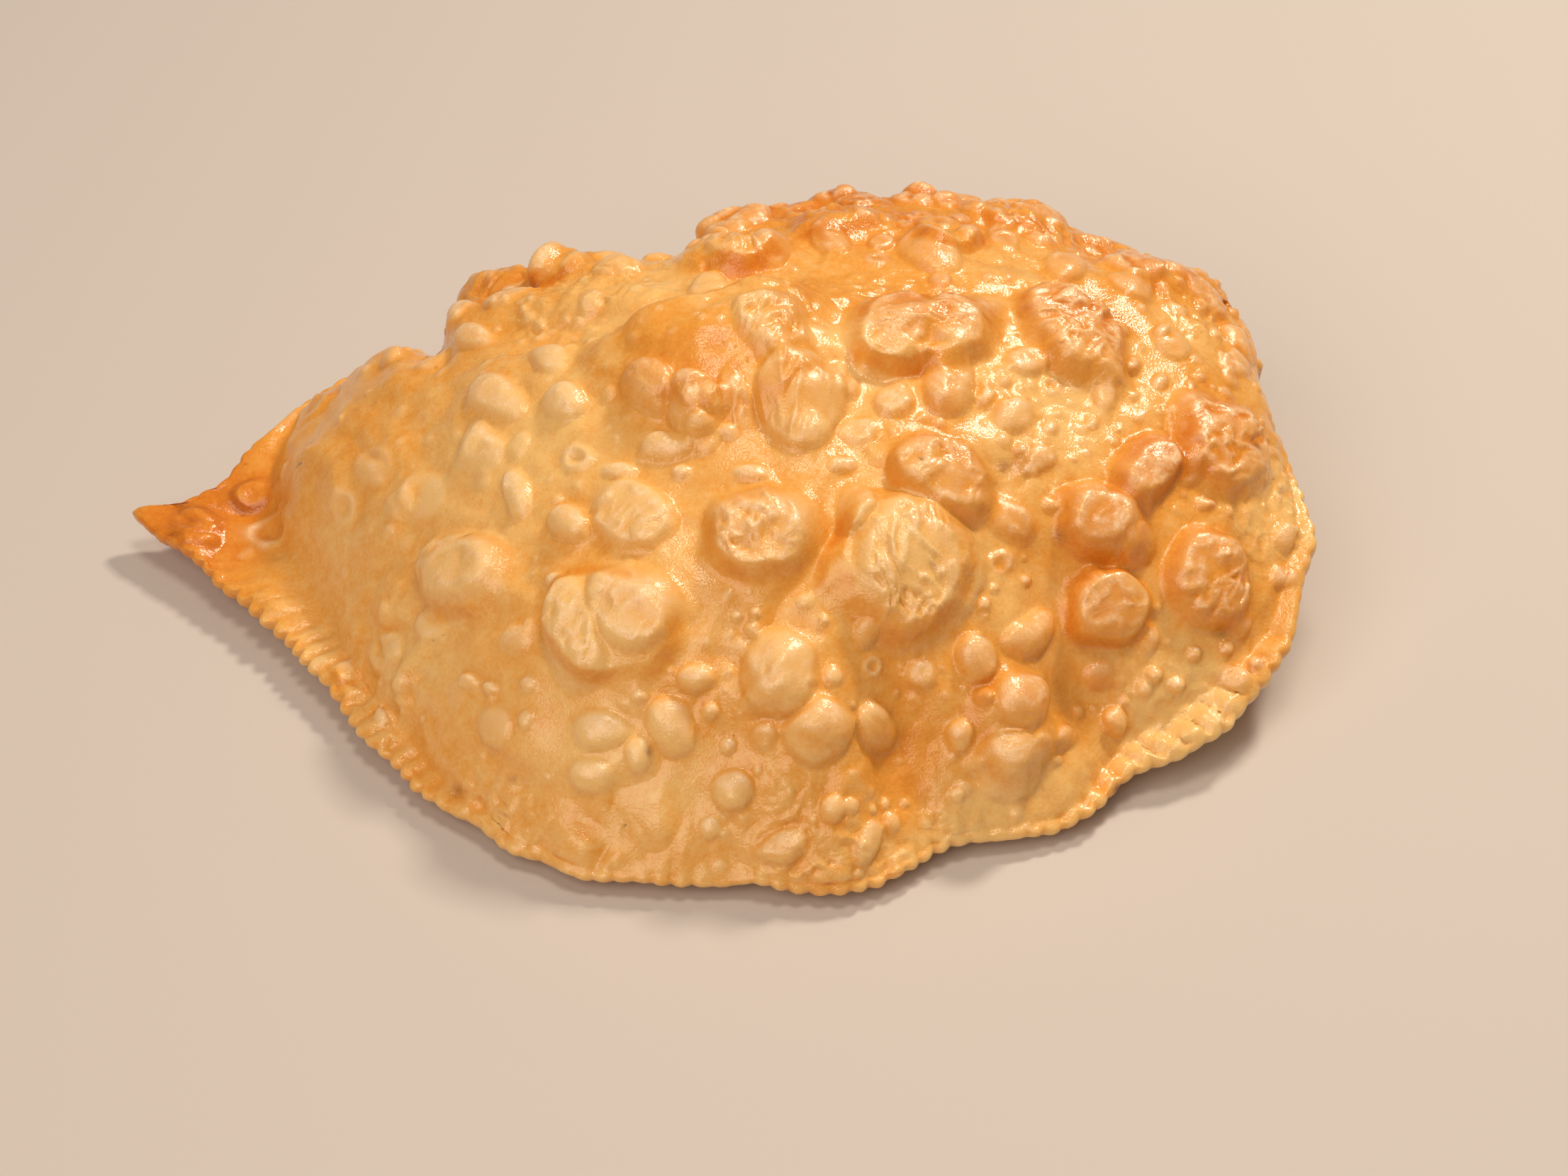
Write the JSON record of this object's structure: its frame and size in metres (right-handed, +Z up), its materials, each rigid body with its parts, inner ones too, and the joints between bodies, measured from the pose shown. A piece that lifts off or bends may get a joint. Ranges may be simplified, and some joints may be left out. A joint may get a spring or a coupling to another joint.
{
  "type": "cheburek",
  "caption": "Large fried cheburek, a folded and crimped half-moon pasty with one pointed end, puffed up and covered with blisters, lying flat on its lower leaf.",
  "frame": {"origin": "on the table, under the middle of the outline seen from above", "axes": "+X along the length, from the pointed tip to the round end; +Y from the crimped front to the folded back; +Z up"},
  "size_m": [0.2238, 0.1554, 0.0662],
  "materials": {
    "fried_dough": "golden brown blistered fried dough with a thin film of oil"
  },
  "bodies": {
    "root": {"cheburek": "fried_dough"}
  },
  "joints": []
}
